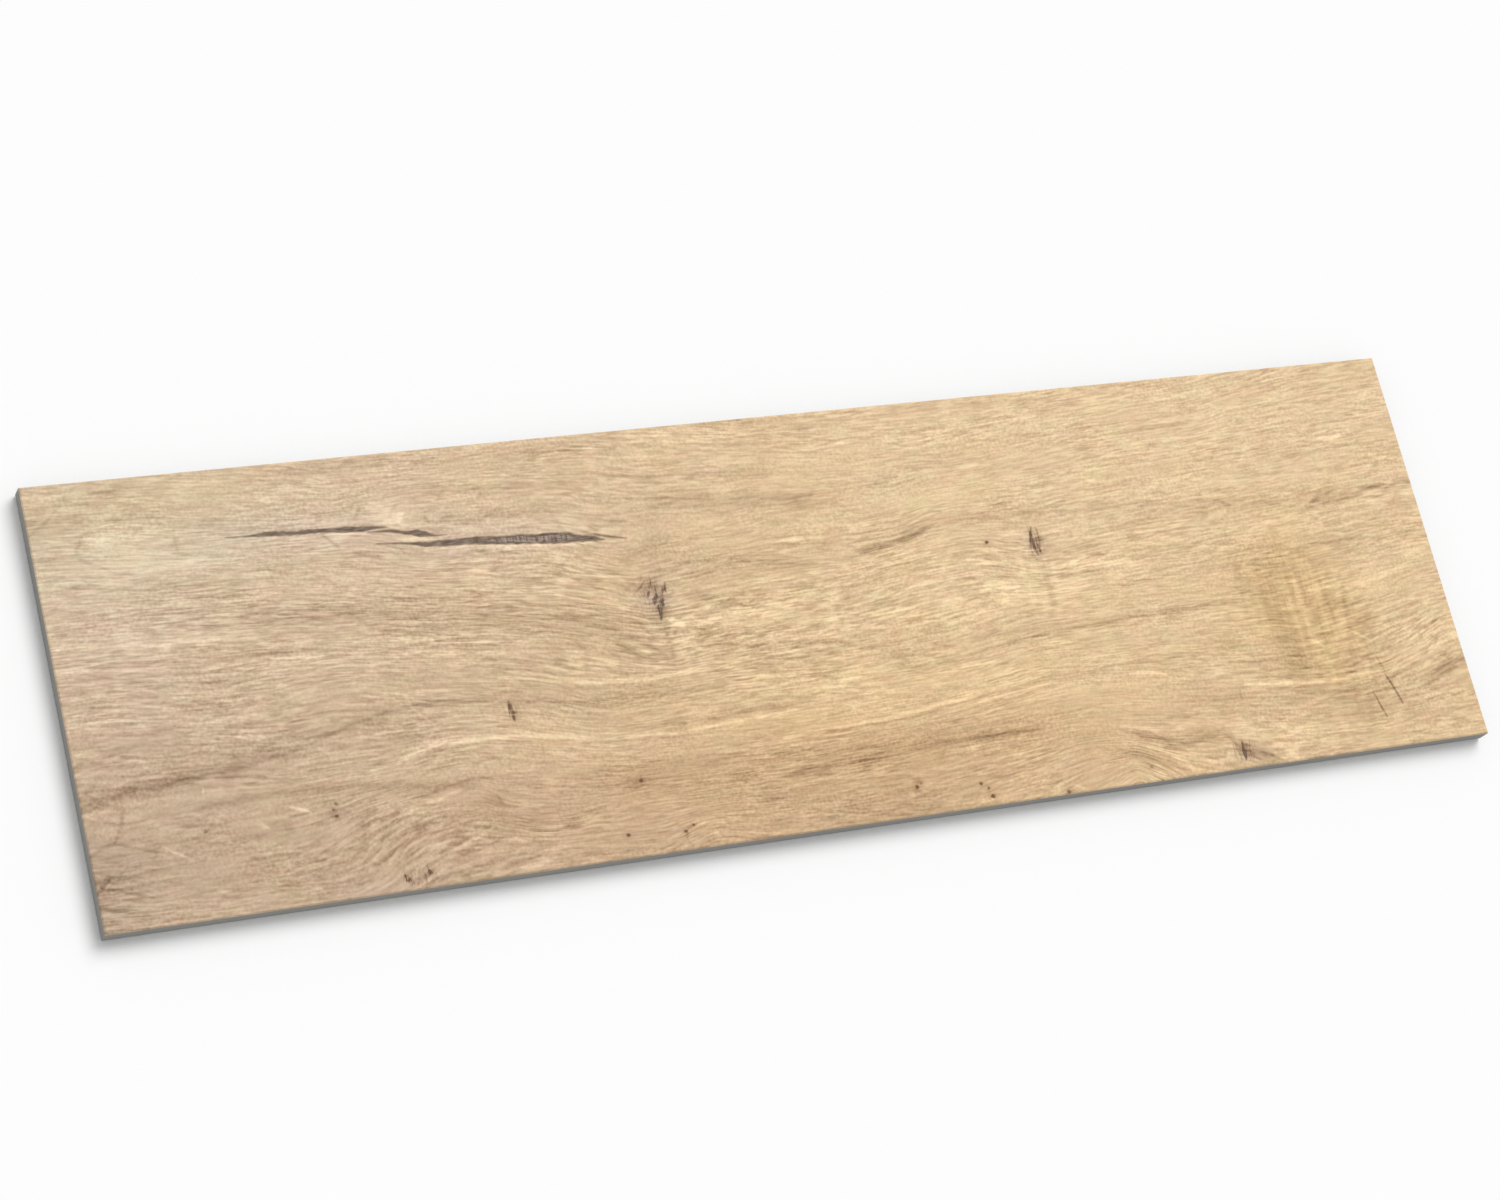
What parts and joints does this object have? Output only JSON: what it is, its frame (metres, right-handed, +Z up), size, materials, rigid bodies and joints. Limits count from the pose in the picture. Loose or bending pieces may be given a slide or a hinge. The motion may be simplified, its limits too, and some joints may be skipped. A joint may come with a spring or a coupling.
{
  "type": "wood look porcelain plank tile",
  "caption": "Long rectangular porcelain floor or wall plank with a matt printed wood grain face, square ground edges and a ribbed back for adhesive.",
  "frame": {"origin": "centre of the bedding plane, on the crossing of the two middle ribs of the back", "axes": "+X along the plank's length, towards the end whose grain is the more yellow; +Y across its width; +Z up through the thickness, out of the printed face"},
  "size_m": [0.6, 0.175, 0.008],
  "materials": {
    "printed_porcelain": "matt glaze with printed wood grain on the face, bare grey fired body on the edges and back"
  },
  "bodies": {
    "root": {"plank_tile": "printed_porcelain"}
  },
  "joints": []
}
